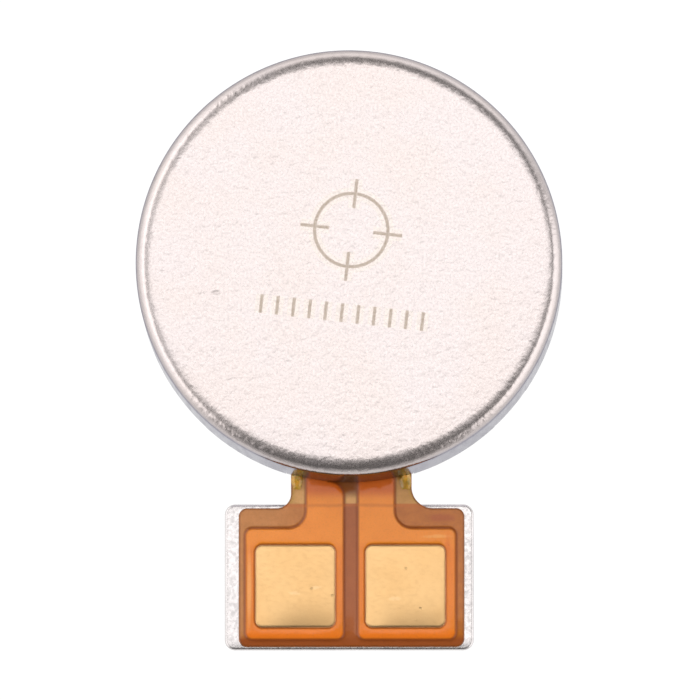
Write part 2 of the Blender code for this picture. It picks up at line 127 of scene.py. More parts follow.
def arc(centre, radius, start, end, step=math.radians(6)):
    """Points on a circle from one angle to another, both ends included."""
    steps = max(1, round(abs(end - start) / step))
    angles = [start + (end - start) * index / steps for index in range(steps + 1)]
    return [(centre[0] + radius * math.cos(a), centre[1] + radius * math.sin(a)) for a in angles]


def round_corners(corners, radius=0.0):
    """A closed outline of (x, y) or (x, y, own radius) corners, each turned into its arc."""
    outline = []
    for index, (x, y, *own) in enumerate(corners):
        reach = own[0] if own else radius
        if reach == 0:
            outline.append((x, y))
            continue
        here = Vector((x, y))
        back = (Vector(corners[index - 1][:2]) - here).normalized()
        ahead = (Vector(corners[(index + 1) % len(corners)][:2]) - here).normalized()
        half = back.angle(ahead) / 2
        centre = here + (back + ahead).normalized() * reach / math.sin(half)
        first = here + back * reach / math.tan(half) - centre
        last = here + ahead * reach / math.tan(half) - centre
        start = math.atan2(first.y, first.x)
        outline += arc(centre, reach, start, start - first.angle_signed(last))
    return outline


def circle(radius, centre=(0.0, 0.0), count=72):
    step = math.tau / count
    return arc(centre, radius, 0.0, math.tau - step, step)


def rectangle(low, high, radius):
    left, bottom, right, top = *low[:2], *high[:2]
    return round_corners([(left, bottom), (right, bottom), (right, top), (left, top)], radius)


def lobe_arc():
    """The flex's round end inside the case, from the neck's right edge round to its left."""
    start = math.asin(NECK_RIGHT / LOBE_RADIUS) - math.pi / 2
    end = math.asin(NECK_LEFT / LOBE_RADIUS) + 1.5 * math.pi
    return arc((0.0, 0.0), LOBE_RADIUS, start, end)


def flex_outline():
    return round_corners([
        *[(*point, 0.0) for point in lobe_arc()],
        (NECK_LEFT, TAB_TOP, NECK_FILLET_LEFT),
        (TAB_LEFT, TAB_TOP),
        (TAB_LEFT, TAB_BOTTOM),
        (TAB_RIGHT, TAB_BOTTOM),
        (TAB_RIGHT, TAB_TOP),
        (NECK_RIGHT, TAB_TOP, NECK_FILLET_RIGHT),
    ], TAB_CORNER)


def left_trace_outline():
    outer, neck, inner = LEFT_TRACE_EDGES
    return round_corners([
        (neck, LAND_HIGH),
        (neck, TRACE_TOP, TRACE_FILLET),
        (outer, TRACE_TOP),
        (outer, TRACE_BOTTOM),
        (inner, TRACE_BOTTOM),
        (inner, LEFT_TRACE_STEP, inner - LEFT_TRACE_INNER - 0.01 * MM),
        (LEFT_TRACE_INNER, LEFT_TRACE_STEP, 0.0),
        (LEFT_TRACE_INNER, LAND_LOW, 0.0),
        (LAND_RIGHT, LAND_LOW),
        (LAND_RIGHT, LAND_HIGH),
    ], TRACE_CORNER)


def right_trace_outline():
    inner, neck, outer = RIGHT_TRACE_EDGES
    return round_corners([
        (inner, LAND_HIGH),
        (inner, TRACE_BOTTOM),
        (outer, TRACE_BOTTOM),
        (outer, TRACE_TOP),
        (neck, TRACE_TOP, TRACE_FILLET),
        (neck, LAND_HIGH),
    ], TRACE_CORNER)


def pad_outline(node, grow):
    low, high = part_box(node)
    low, high = (low.x - grow, low.y - grow), (high.x + grow, high.y + grow)
    return rectangle(low, high, PAD_CORNER + grow)


def bracket_outline():
    """The base disc, with ears and a tongue that reach out into the cup's notches."""
    ears = [(direction, EAR_HALF_ANGLE) for direction in EAR_DIRECTIONS]
    ears = sorted([*ears, (TONGUE_DIRECTION, TONGUE_HALF_ANGLE)])
    ear_radius, disc_radius = CASE_RADIUS - EAR_GAP, CASE_RADIUS - SHEET - SKIRT_GAP
    outline = []
    for (direction, half_angle), following in zip(ears, ears[1:] + ears[:1]):
        start, end = math.radians(direction - half_angle), math.radians(direction + half_angle)
        after = math.radians(following[0] - following[1])
        if after < end:
            after += math.tau
        outline += arc((0.0, 0.0), ear_radius, start, end, math.radians(1))
        outline += arc((0.0, 0.0), disc_radius, end, after, math.radians(1))
    return outline


# ---- meshing flat pieces


def resample(outline, spacing):
    """The same closed outline, with no edge longer than the spacing."""
    points = []
    for here, ahead in zip(outline, outline[1:] + outline[:1]):
        length = math.dist(here, ahead)
        if length < 1e-9:
            continue
        count = max(1, math.ceil(length / spacing))
        for part in range(count):
            points.append([a + (b - a) * (part / count) for a, b in zip(here, ahead)])
    return np.array(points)


def anticlockwise(points):
    """The same loop, turned round if it runs clockwise."""
    x, y = points.T
    area = np.sum(x * np.roll(y, -1) - np.roll(x, -1) * y)
    return points if area > 0 else points[::-1]


def inset(points, distance):
    """The outline moved inwards, or outwards if distance is negative."""
    points = anticlockwise(points)
    along = np.roll(points, -1, 0) - points
    along /= np.linalg.norm(along, axis=1)[:, None]
    normal = np.stack([-along[:, 1], along[:, 0]], 1)
    before = np.roll(normal, 1, 0)
    bisector = normal + before
    bisector /= np.linalg.norm(bisector, axis=1)[:, None]
    reach = np.clip(np.sum(bisector * normal, 1), 0.5, 1.0)
    return points + bisector * (distance / reach)[:, None]


def inside(points, outline):
    """True for each point that lies inside the closed outline."""
    x, y = points[:, :1], points[:, 1:]
    x1, y1 = outline.T
    x2, y2 = np.roll(outline, -1, 0).T
    crosses = (y1 > y) != (y2 > y)
    with np.errstate(divide="ignore", invalid="ignore"):
        at = x1 + (y - y1) * (x2 - x1) / (y2 - y1)
    return np.sum(crosses & (x < at), 1) % 2 == 1


def distance_to(points, outline):
    """Distance from each point to the closed outline."""
    span = np.roll(outline, -1, 0) - outline
    length2 = np.maximum(np.sum(span * span, 1), 1e-18)
    nearest_edge = []
    for chunk in np.array_split(points, len(points) // 4000 + 1):
        offset = chunk[:, None] - outline
        share = np.clip(np.sum(offset * span, 2) / length2, 0, 1)
        away = offset - share[:, :, None] * span
        nearest_edge.append(np.sqrt(np.min(np.sum(away * away, 2), 1)))
    return np.concatenate(nearest_edge)


def signed_distance(points, outline):
    """Distance to the outline, negative inside it."""
    return np.where(inside(points, outline), -1, 1) * distance_to(points, outline)


def smoothstep(low, high, value):
    share = np.clip((value - low) / (high - low), 0, 1)
    return share * share * (3 - 2 * share)


def within(points, outer, holes):
    """True for each point inside the outer loop and outside every hole."""
    keep = inside(points, outer)
    for hole in holes:
        keep &= ~inside(points, hole)
    return keep


def fill_region(outer, holes, guides, loose):
    """Points and triangles of a flat region. Edges follow every loop, and loose points are
    corners too."""
    points, edges = [], []
    for loop in (outer, *holes, *guides):
        first = len(points)
        points += [Vector(point / MM) for point in loop]
        edges += [(first + i, first + (i + 1) % len(loop)) for i in range(len(loop))]
    points += [Vector(point / MM) for point in loose]
    flat, _, faces, *_ = geometry.delaunay_2d_cdt(points, edges, [], 0, 1e-5)
    flat = np.array([tuple(v) for v in flat]) * MM
    faces = np.array([tuple(f) for f in faces])
    return flat, faces[within(flat[faces].mean(1), outer, holes)]


def triangulate(outer, holes, guides, spacing, fine_below=math.inf, coarse=0.0):
    """A flat region filled with even triangles. Above the height fine_below, the points are
    only as close as the coarse spacing."""
    low, high = outer.min(0), outer.max(0)
    row_height = spacing * 0.866
    grid = np.array([
        (x, y)
        for number, y in enumerate(np.arange(low[1], high[1], row_height))
        for x in np.arange(low[0] + spacing / 2 * (number % 2), high[0], spacing)
    ])
    grid = grid[within(grid, outer, holes)]
    keep = np.ones(len(grid), bool)
    for loop in (outer, *holes, *guides):
        keep &= distance_to(grid, loop) > spacing * 0.55
    step = max(1, round(coarse / spacing))
    row = np.round((grid[:, 1] - low[1]) / row_height)
    column = np.floor((grid[:, 0] - low[0]) / spacing + 0.25)
    keep &= (grid[:, 1] < fine_below) | ((row % step == 0) & (column % step == 0))
    return fill_region(outer, holes, guides, grid[keep])


def solid_from_sheet(flat, faces, top, bottom, droops=True, **attributes):
    """A closed solid between two height fields over a triangulated flat region. Each of the
    attributes holds one number for each flat point."""
    used = np.unique(faces)
    renumber = np.full(len(flat), -1)
    renumber[used] = np.arange(len(used))
    flat, faces, top, bottom = flat[used], renumber[faces], top[used], bottom[used]
    a, b, c = flat[faces[:, 0]], flat[faces[:, 1]], flat[faces[:, 2]]
    turn = (b[:, 0] - a[:, 0]) * (c[:, 1] - a[:, 1]) - (c[:, 0] - a[:, 0]) * (b[:, 1] - a[:, 1])
    faces[turn < 0] = faces[turn < 0][:, ::-1]
    count = len(flat)
    fall = droop(flat[:, 1]) if droops else 0.0
    top = top - fall
    bottom = np.maximum(bottom - fall, np.minimum(bottom, 0.0))
    vertices = np.vstack([np.column_stack([flat, top]), np.column_stack([flat, bottom])])
    edges = dict.fromkeys((face[i - 1], face[i]) for face in faces.tolist() for i in (1, 2, 0))
    rim = [(start, end) for start, end in edges if (end, start) not in edges]
    walls = [(start, start + count, end + count, end) for start, end in rim]
    everything = faces.tolist() + (faces[:, ::-1] + count).tolist() + walls
    mesh = mesh_of(vertices.tolist(), everything)
    for name, values in attributes.items():
        attribute = mesh.attributes.new(name, "FLOAT", "POINT")
        attribute.data.foreach_set("value", np.tile(values[used], 2).astype(np.float32))
    return mesh


def mesh_of(vertices, faces):
    mesh = bpy.data.meshes.new("mesh")
    mesh.from_pydata(vertices, [], faces)
    mesh.update()
    return mesh


def store_rest(mesh):
    """Keeps each vertex's rest place, in millimetres, so that patterns don't slide in a bend."""
    places = np.zeros(len(mesh.vertices) * 3, np.float32)
    mesh.vertices.foreach_get("co", places)
    attribute = mesh.attributes.new("rest_mm", "FLOAT_VECTOR", "POINT")
    attribute.data.foreach_set("vector", places / np.float32(MM))


def droop(y):
    """How far the tab's layers have rolled down at a place near its far edge."""
    start, depth = -7.6 * MM, 0.052 * MM
    return depth * np.clip((start - y) / (start - TAB_BOTTOM), 0, None) ** 2


def rounded_drop(depth, radius):
    """How far a rounded edge has dropped at a depth inside its outline."""
    reach = np.clip(radius - depth, 0, radius)
    return radius - np.sqrt(np.maximum(radius * radius - reach * reach, 0))


def rounding_guides(outline, radius, steps):
    angles = [math.pi / 2 * (step + 1) / steps for step in range(steps)]
    return [inset(outline, radius * (1 - math.cos(angle))) for angle in angles]


def plate_mesh(node, outlines, spacing, loop_spacing, edge=0.0, droops=True):
    """A plate as tall as its CAD node, with rounded edges if edge is more than 0."""
    low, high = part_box(node)
    outer, *holes = [anticlockwise(resample(outline, loop_spacing)) for outline in outlines]
    guides = rounding_guides(outer, edge, 5) if edge else []
    flat, faces = triangulate(outer, holes, guides, spacing)
    drop = rounded_drop(distance_to(flat, outer), edge)
    return solid_from_sheet(flat, faces, high.z - drop, low.z + drop, droops)


# ---- meshing turned pieces


def turned_mesh(profile, segments):
    """Revolves a profile of (radius, height) that runs along the top, down and back inside.
    A profile that starts away from the axis is closed into a ring."""
    vertices, rings = [], []
    for radius, height in profile:
        if on_axis(radius):
            rings.append([len(vertices)] * segments)
            vertices.append((0.0, 0.0, height))
            continue
        first = len(vertices)
        for index in range(segments):
            angle = math.tau * index / segments
            vertices.append((radius * math.cos(angle), radius * math.sin(angle), height))
        rings.append(list(range(first, first + segments)))
    pairs = list(zip(rings, rings[1:]))
    if not on_axis(profile[0][0]):
        pairs.append((rings[-1], rings[0]))
    faces = []
    for upper, lower in pairs:
        for index in range(segments):
            ahead = (index + 1) % segments
            corners = [upper[index], lower[index], lower[ahead], upper[ahead]]
            faces.append(list(dict.fromkeys(corners)))
    return mesh_of(vertices, faces)


def on_axis(radius):
    return radius < 1e-9


def soften(corners, radius):
    """A profile of (radius, height) corners, each rounded unless it is on the axis."""
    return round_corners([(x, y, 0.0 if on_axis(x) else radius) for x, y in corners])


# ---- objects


def linked(name, data):
    """A new object in the scene."""
    made = bpy.data.objects.new(name, data)
    bpy.context.scene.collection.objects.link(made)
    return made


def baked(stock, *helpers):
    """The stock's mesh with its modifiers applied. The stock and its helpers are removed."""
    graph = bpy.context.evaluated_depsgraph_get()
    mesh = bpy.data.meshes.new_from_object(stock.evaluated_get(graph))
    for used in (stock, *helpers):
        bpy.data.objects.remove(used, do_unlink=True)
    return mesh


def add_piece(name, node, mesh, material, body=None, angle=35):
    """Links one visible piece, which stands for its CAD node and rides on a body."""
    mesh.shade_smooth()
    mesh.set_sharp_from_angle(angle=math.radians(angle))
    mesh.name = name
    piece = linked(name, mesh)
    mesh.materials.clear()
    mesh.materials.append(material)
    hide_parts(node)
    if body:
        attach(piece, body)
    return piece


def add_bending_piece(name, node, mesh, material, angle):
    """Adds a layer of the tail that rides on no body, with its rest places stored and its
    placement baked into its mesh.
    """
    store_rest(mesh)
    piece = add_piece(name, node, mesh, material, None, angle)
    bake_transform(piece)


# ---- material nodes


class Field:
    """A value that varies over a surface: one node's output, with arithmetic."""

    def __init__(self, nodes, socket):
        self.nodes = nodes
        self.socket = socket

    def __add__(self, other):
        return self.nodes.math("ADD", self, other)

    def __mul__(self, other):
        return self.nodes.math("MULTIPLY", self, other)

    def __sub__(self, other):
        return self.nodes.math("SUBTRACT", self, other)

    def __abs__(self):
        return self.nodes.math("ABSOLUTE", self)

    __radd__ = __add__
    __rmul__ = __mul__


class Nodes:
    """A node tree under construction, with short names for the nodes it uses."""

    def __init__(self, tree):
        self.tree = tree

    def put(self, socket, value):
        if isinstance(value, Field):
            self.tree.links.new(value.socket, socket)
        else:
            socket.default_value = value

    def add_node(self, kind, inputs, **settings):
        node = self.tree.nodes.new("ShaderNode" + kind)
        for key, value in settings.items():
            setattr(node, key, value)
        for key, value in inputs.items():
            self.put(node.inputs[key], value)
        return node

    def add(self, kind, inputs, output=0, **settings):
        """Adds a node and returns one of its outputs."""
        return Field(self, self.add_node(kind, inputs, **settings).outputs[output])

    def split(self, place):
        """The x, y and z of a vector."""
        return [Field(self, part) for part in self.add_node("SeparateXYZ", {0: place}).outputs]

    def math(self, operation, first, second=0.0):
        return self.add("Math", {0: first, 1: second}, operation=operation)

    def length(self, across, along):
        return self.math("SQRT", across * across + along * along)

    def highest(self, first, *others):
        for other in others:
            first = self.math("MAXIMUM", first, other)
        return first

    def remap(self, value, low, high, to_low=0.0, to_high=1.0, soft=True):
        inputs = {0: value, 1: low, 2: high, 3: to_low, 4: to_high}
        kind = "SMOOTHSTEP" if soft else "LINEAR"
        return self.add("MapRange", inputs, interpolation_type=kind, clamp=True)

    def fall(self, value, low, high):
        """1 below low, fading to 0 at high."""
        return self.remap(value, low, high, to_low=1.0, to_high=0.0)

    def window(self, value, low, high, soft):
        """1 where a value lies between low and high, fading over soft at each side."""
        rise = self.remap(value, low - soft / 2, low + soft / 2)
        return rise * self.fall(value, high - soft / 2, high + soft / 2)

    def band(self, value, half_width, soft):
        """1 where a value is within half_width of zero, fading over soft."""
        return self.fall(abs(value), half_width - soft, half_width + soft)

    def mix(self, share, first, second):
        """Mixes two colours."""
        inputs = {0: share, 6: opaque(first), 7: opaque(second)}
        return self.add("Mix", inputs, 2, data_type="RGBA")

    def vary(self, pattern, first, second):
        """Goes from one colour or number to another over the usual range of a noise."""
        if isinstance(first, tuple):
            return self.mix(self.remap(pattern, 0.3, 0.7), first, second)
        return self.remap(pattern, 0.3, 0.7, first, second)


def opaque(colour):
    return (*colour, 1.0) if isinstance(colour, tuple) else colour


class Shader(Nodes):
    """A Principled material under construction. Its patterns are measured in millimetres."""

    def __init__(self, name, rest=False, **constants):
        self.material = bpy.data.materials.new(name)
        self.material.use_nodes = True
        super().__init__(self.material.node_tree)
        self.shader = self.tree.nodes["Principled BSDF"]
        for key, value in constants.items():
            socket_name = key.replace("_", " ").title().replace("Ior", "IOR")
            self.shader.inputs[socket_name].default_value = value
        if rest:
            self.place = self.add("Attribute", {}, "Vector", attribute_name="rest_mm")
        else:
            self.place = self.scale(self.add("TexCoord", {}, "Object"), 1 / MM)
        self.x, self.y, self.z = self.split(self.place)

    def scale(self, vector, factor):
        return self.add("VectorMath", {0: vector, "Scale": factor}, operation="SCALE")

    def noise(self, features_per_mm, detail=2.0, roughness=0.5, stretch=None, distortion=0.0):
        place = self.place
        if stretch:
            place = self.add("VectorMath", {0: place, 1: stretch}, operation="MULTIPLY")
        inputs = {"Vector": place, "Scale": features_per_mm, "Detail": detail,
                  "Roughness": roughness, "Distortion": distortion}
        return self.add("TexNoise", inputs, "Fac")

    def cells(self, per_mm):
        return self.add("TexVoronoi", {"Vector": self.place, "Scale": per_mm}, "Distance")

    def attribute(self, name):
        return self.add("Attribute", {}, "Fac", attribute_name=name)

    def near(self, x, y, reach_x, reach_y, wobble=None):
        """1 at a spot of the plan, fading to 0 at an ellipse round it."""
        away = self.length((self.x - x) * (1 / reach_x), (self.y - y) * (1 / reach_y))
        if wobble:
            away = away + (wobble - 0.5) * 1.2
        return self.fall(away, 0.25, 1.0)

    def tint(self, colour, share, amount):
        """Darkens a colour by up to amount where share is high."""
        return self.scale(colour, self.remap(share, 0.0, 1.0, 1.0, 1.0 - amount, soft=False))

    def finish(self, colour, roughness, height, bump_mm, coat_follows=False, **others):
        """Sets the shader's inputs. Where the height is 1, the relief is bump_mm tall."""
        inputs = {"Height": height, "Distance": bump_mm * MM, "Strength": 1.0}
        relief = self.add("Bump", inputs)
        inputs = {"Base Color": colour, "Roughness": roughness, "Normal": relief, **others}
        if coat_follows:
            inputs["Coat Normal"] = relief
        for key, value in inputs.items():
            self.put(self.shader.inputs[key], value)
        return self.material


# ---- the case's finish


def laser_mark(s, line):
    """Mask of a plain alignment mark: a crossed ring over a row of even ticks."""
    turn, soft = math.radians(-6.5), 0.015
    ring_radius, ring_y, spoke_half = 0.86, 0.5, 0.34
    pitch, ticks, tick_half, row_y = 0.38, 11, 0.22, -1.45
    cos, sin = math.cos(turn), math.sin(turn)
    y = s.y - 0.25
    across = s.x * cos + y * sin
    along = y * cos - s.x * sin
    above = along - ring_y
    from_ring = s.length(across, above) - ring_radius
    ring = s.band(from_ring, line, soft)
    nearest_axis = s.math("MINIMUM", abs(across), abs(above))
    spokes = s.band(nearest_axis, line, soft) * s.band(from_ring, spoke_half, soft)
    cell = s.math("PINGPONG", across + pitch * 50, pitch / 2)
    row = s.band(across, pitch * ticks / 2, soft) * s.band(along - row_y, tick_half, soft)
    bars = s.band(cell, line, soft) * row
    return s.highest(ring, spokes, bars)


def case_steel():
    """Nickel-plated drawn steel: orange-peel face running over its edge, smoother wall. Its
    shoulder has a painted dark reflection and its foot painted shade.
    """
    s = Shader("case_steel", metallic=1.0, specular_tint=(0.36, 0.352, 0.40, 1.0))
    top = CASE_TOP / MM
    face = s.remap(s.z, top - 0.26, top - 0.12)
    flat = s.remap(s.z, top - 0.02, top - 0.002)
    # painted dark reflection: the shoulder band is darkened in colour
    shoulder_dark_reflection = s.window(s.z, top - 0.24, top - 0.085, 0.06)
    edge = s.window(s.z, top - 0.27, top - 0.03, 0.05)
    # painted shade: the wall darkens towards its foot
    foot = s.fall(s.z, 0.02, 0.12)
    peel = s.noise(7.5, 1.0, 0.45, distortion=0.3)
    grain = s.noise(20.0)
    clouds = s.noise(0.55, 3.0, 0.55)
    streaks = s.noise(5.0, 2.0, 0.6, stretch=(1.0, 1.0, 0.08))
    speckle = s.remap(s.noise(24.0, 1.0), 0.35, 0.65, 0.6, 1.0)
    ding = s.near(-3.12, -0.72, 0.16, 0.07)
    mark = laser_mark(s, 0.036) * flat * speckle
    halo = laser_mark(s, 0.14) * flat

    warm = s.mix(s.remap(clouds, 0.35, 0.65), (0.64, 0.582, 0.574), (0.64, 0.574, 0.556))
    # painted shade: darker on the peel's rises, for contrast in its texture
    warm = s.tint(warm, s.remap(peel, 0.58, 0.74), 0.05)
    warm = s.tint(warm, ding, 0.15)
    warm = s.mix(halo * 0.5, warm, (0.655, 0.595, 0.535))
    cool = s.vary(streaks, (0.66, 0.645, 0.685), (0.60, 0.585, 0.63))
    cool = s.tint(cool, foot, 0.35)
    colour = s.tint(s.mix(face, cool, warm), shoulder_dark_reflection, 0.16)
    colour = s.mix(mark * 0.9, colour, (0.46, 0.375, 0.30))

    wall_rough = s.vary(streaks, 0.11, 0.17)
    face_rough = s.vary(grain, 0.24, 0.29)
    rough = wall_rough + face * (face_rough - wall_rough) + mark * 0.12
    height = (peel - 0.5) * 0.85 + grain * 0.02
    height = height * (face * 0.92 + 0.08 + edge * 1.1) - ding * 0.35
    return s.finish(colour, rough, height, 0.006)


# ---- the tail's finishes


def copper_tone(s, clouds, mottle, window_edge, case_shade):
    """Film over copper: bright orange, deeper round the pads, with painted shade by the case and
    at the far edge, a painted glint and dark reflection at the right, and a painted highlight at
    the left.
    """
    frame_share = s.fall(window_edge, 0.1, 0.36) * s.remap(s.y, -6.35, -6.65)
    glint = s.near(2.05, -6.27, 0.42, 0.06, mottle)
    # painted highlight along the left frame's edge
    left_edge_highlight = s.near(-2.37, -7.5, 0.075, 1.25)
    # painted dark reflection beside the glint
    glint_dark_side = s.near(2.3, -6.5, 0.09, 0.38, mottle)
    # painted shade at the tab's far edge, where it rolls down
    far_edge_shade = s.remap(s.y, -8.35, -8.6)
    tone = s.vary(clouds, (0.90, 0.266, 0.012), (0.85, 0.244, 0.009))
    tone = s.mix(frame_share * 0.85, tone, (0.82, 0.198, 0.001))
    tone = s.mix(glint * 0.6, tone, (0.93, 0.42, 0.09))
    tone = s.mix(left_edge_highlight * 0.8, tone, (0.93, 0.385, 0.085))
    tone = s.mix(glint_dark_side * 0.7, tone, (0.78, 0.165, 0.001))
    tone = s.mix(far_edge_shade, tone, (0.90, 0.20, 0.001))
    # painted shade by the case
    return s.mix(case_shade * 0.8, tone, (0.66, 0.108, 0.001))


def plate_tone(s, clouds, mottle):
    """Film over the plate: brown, paler at the left and dark between the traces, with painted
    shade at the far edge and a painted dark reflection at the top right.
    """
    to_right = s.remap(s.x + clouds * 1.2, -1.6, 0.6)
    gap = s.fall(abs(s.x), 0.3, 0.4)
    # painted shade at the tab's far edge, where it rolls down
    far_edge_shade = s.remap(s.y, -8.55, -8.72)
    # painted dark reflection on the film at the top right
    dark_reflection_patch = s.near(2.13, -5.83, 0.45, 0.14, mottle)
    paler_left = s.vary(mottle, (0.56, 0.205, 0.038), (0.51, 0.185, 0.030))
    clear = s.vary(mottle, (0.51, 0.143, 0.002), (0.46, 0.124, 0.001))
    tone = s.mix(to_right, paler_left, clear)
    tone = s.mix(gap * 0.7, tone, (0.33, 0.062, 0.002))
    tone = s.mix(far_edge_shade, tone, (0.33, 0.068, 0.001))
    return s.mix(dark_reflection_patch * 0.85, tone, (0.42, 0.085, 0.002))


def neck_tone(s, mottle, film_edge, case_shade):
    """Film over nothing: tan, with glue along its edges. By the case it darkens, partly glue and
    partly painted shade, most in the gap between the traces.
    """
    to_right = s.remap(s.x, 0.2, 1.2, 0.0, 0.6)
    # darker by the case: partly glue, partly painted shade
    glue_and_case_shade = s.remap(s.y, -5.26, -5.1)
    middle = s.fall(abs(s.x), 0.55, 0.65)
    glue = s.fall(film_edge, 0.02, 0.13) * s.remap(mottle, 0.25, 0.6, 0.3, 0.9)
    tone = s.mix(s.remap(mottle, 0.35, 0.65), (0.70, 0.35, 0.095), (0.60, 0.29, 0.065))
    tone = s.mix(to_right, tone, (0.46, 0.195, 0.018))
    tone = s.mix(glue_and_case_shade * 0.7, tone, (0.46, 0.20, 0.015))
    # painted shade by the case, over glue in the gap between the traces
    tone = s.mix(middle * case_shade, tone, (0.26, 0.07, 0.004))
    return s.mix(glue, tone, (0.50, 0.25, 0.012))


def cover_film():
    """Amber cover film, coloured by what lies under it, with painted shade along its cut edges and
    the copper's edges.
    """
    s = Shader("amber_film", rest=True, coat_weight=0.68, coat_roughness=0.06, coat_ior=1.45,
               specular_ior_level=0.32)
    copper_edge = s.attribute("copper_mm")
    film_edge = s.attribute("film_edge_mm")
    window_edge = s.attribute("window_mm")
    clouds = s.noise(0.9, 3.0, 0.55)
    mottle = s.noise(5.0, 3.0, 0.6)
    fine = s.noise(24.0)
    wave = s.noise(1.7)
    plate_end = PLATE_HIGH.y / MM
    on_copper = s.fall(copper_edge, -0.012, 0.012)
    on_plate = s.fall(s.y, plate_end - 0.02, plate_end + 0.03)
    # painted shade of the case wall on the film next to it
    case_shade = s.remap(s.y, -5.42, -5.16)
    # painted shade along the copper's edges, the film's edge and the windows' edges
    copper_edge_shade = s.band(copper_edge - 0.008, 0.036, 0.032)
    film_edge_shade = s.fall(film_edge, 0.012, 0.065)
    window_edge_shade = s.fall(window_edge, 0.01, 0.055)
    plate_line = s.band(s.y - (plate_end - 0.04) + (clouds - 0.5) * 0.12, 0.035, 0.035)

    over_plate = plate_tone(s, clouds, mottle)
    over_nothing = neck_tone(s, mottle, film_edge, case_shade)
    over_copper = copper_tone(s, clouds, mottle, window_edge, case_shade)
    colour = s.mix(on_copper, s.mix(on_plate, over_nothing, over_plate), over_copper)
    colour = s.mix(copper_edge_shade * 0.8, colour, (0.25, 0.05, 0.002))
    colour = s.mix(film_edge_shade * 0.8, colour, (0.22, 0.062, 0.005))
    colour = s.mix(window_edge_shade * 0.75, colour, (0.25, 0.06, 0.004))
    colour = s.mix(plate_line * 0.5, colour, (0.55, 0.13, 0.003))
    colour = s.tint(colour, s.remap(fine, 0.45, 0.8), 0.08)
    metal = on_copper * 0.07 + 0.18
    rough = s.vary(mottle, 0.36, 0.46)
    height = wave * 0.9 + mottle * 0.12
    return s.finish(colour, rough, height, 0.008, coat_follows=True, Metallic=metal)


def base_film():
    """Plain amber film with a glossy skin."""
    s = Shader("base_film", rest=True, coat_weight=0.8, coat_roughness=0.08, coat_ior=1.5)
    clouds = s.noise(1.2, 3.0, 0.6)
    fine = s.noise(20.0)
    tone = s.vary(clouds, (0.50, 0.22, 0.05), (0.42, 0.17, 0.035))
    tone = s.tint(tone, s.remap(fine, 0.4, 0.8), 0.12)
    return s.finish(tone, s.vary(fine, 0.2, 0.33), clouds, 0.003)


def plated_gold():
    """Satin gold over copper, a little wavy, with a few dings and scuffs."""
    s = Shader("contact_gold", metallic=1.0)
    clouds = s.noise(0.8)
    lumps = s.noise(3.5, 1.0)
    brushed = s.noise(16.0, stretch=(0.5, 1.0, 1.0))
    dings = sum(s.near(x, y, 0.05, 0.04) for x, y in GOLD_DINGS)
    scuffs = sum(s.near(x, y, 0.17, 0.07, brushed) for x, y in GOLD_SCUFFS)
    tone = s.mix(s.remap(clouds, 0.35, 0.65), (0.735, 0.468, 0.215), (0.71, 0.44, 0.195))
    tone = s.tint(tone, s.remap(brushed, 0.5, 0.8), 0.025)
    tone = s.mix(dings * 0.45, tone, (0.40, 0.27, 0.12))
    tone = s.mix(scuffs * 0.6, tone, (0.80, 0.545, 0.29))
    height = clouds * 0.45 + lumps * 0.035 + brushed * 0.0008 - dings * 0.12
    return s.finish(tone, s.vary(brushed, 0.285, 0.32), height, 0.018)


def sealant_resin():
    """Olive-amber glue with streaks of deeper colour and a wet skin."""
    s = Shader("sealant", coat_weight=0.55, coat_roughness=0.16, coat_ior=1.45,
               subsurface_weight=0.2, subsurface_scale=0.1 * MM)
    clouds = s.noise(4.5, 3.0, 0.6)
    deep = s.noise(9.0, stretch=(1.0, 0.4, 1.0))
    tone = s.mix(s.remap(clouds, 0.35, 0.65), (0.74, 0.40, 0.040), (0.44, 0.245, 0.028))
    tone = s.mix(s.remap(deep, 0.5, 0.7) * 0.6, tone, (0.84, 0.45, 0.03))
    return s.finish(tone, s.vary(deep, 0.18, 0.3), clouds, 0.008)


# ---- finishes of several pieces


def satin_metal(name, colour, roughness, per_mm, bump_mm, stretch=None, dark=0.1):
    """A plain metal with grain, cloudy tone and scattered fine pits."""
    s = Shader(name, metallic=1.0)
    grain = s.noise(per_mm, 3.0, 0.6, stretch=stretch)
    clouds = s.noise(0.8, 3.0, 0.6)
    pits = s.fall(s.cells(per_mm / 3), 0.0, 0.16)
    tone = s.vary(clouds, colour, tuple(part * 0.88 for part in colour))
    tone = s.tint(tone, s.remap(grain, 0.5, 0.8), dark)
    tone = s.tint(tone, pits, dark)
    rough = s.vary(grain, roughness - 0.05, roughness + 0.06)
    return s.finish(tone, rough, grain - pits * 0.3, bump_mm)


def cloudy(name, per_mm, colours, roughness, bump_mm, stretch=None, **constants):
    """A finish whose tone, roughness and relief follow one noise."""
    s = Shader(name, **constants)
    clouds = s.noise(per_mm, 3.0, 0.6, stretch=stretch)
    return s.finish(s.vary(clouds, *colours), s.vary(clouds, *roughness), clouds, bump_mm)


def enamelled_wire(turns_per_mm):
    """Copper wire wound in even turns under a clear enamel, with painted shade in the grooves
    between turns.
    """
    s = Shader("coil_wire", metallic=0.9, coat_weight=0.7, coat_roughness=0.12, coat_ior=1.5)
    # painted shade in the grooves between turns
    groove = s.fall(s.math("PINGPONG", s.z * turns_per_mm, 0.5), 0.0, 0.25)
    clouds = s.noise(2.0, 3.0, 0.6)
    tone = s.tint(s.vary(clouds, (0.72, 0.27, 0.10), (0.60, 0.20, 0.065)), groove, 0.45)
    return s.finish(tone, s.vary(clouds, 0.28, 0.4), clouds, 0.002)


def soft_foam():
    s = Shader("damper_foam")
    pores = s.cells(22.0)
    clouds = s.noise(2.5, 3.0, 0.6)
    tone = s.vary(clouds, (0.035, 0.035, 0.04), (0.065, 0.065, 0.07))
    tone = s.tint(tone, s.fall(pores, 0.0, 0.3), 0.5)
    return s.finish(tone, s.vary(clouds, 0.75, 0.92), pores, 0.01)


# ---- the outside


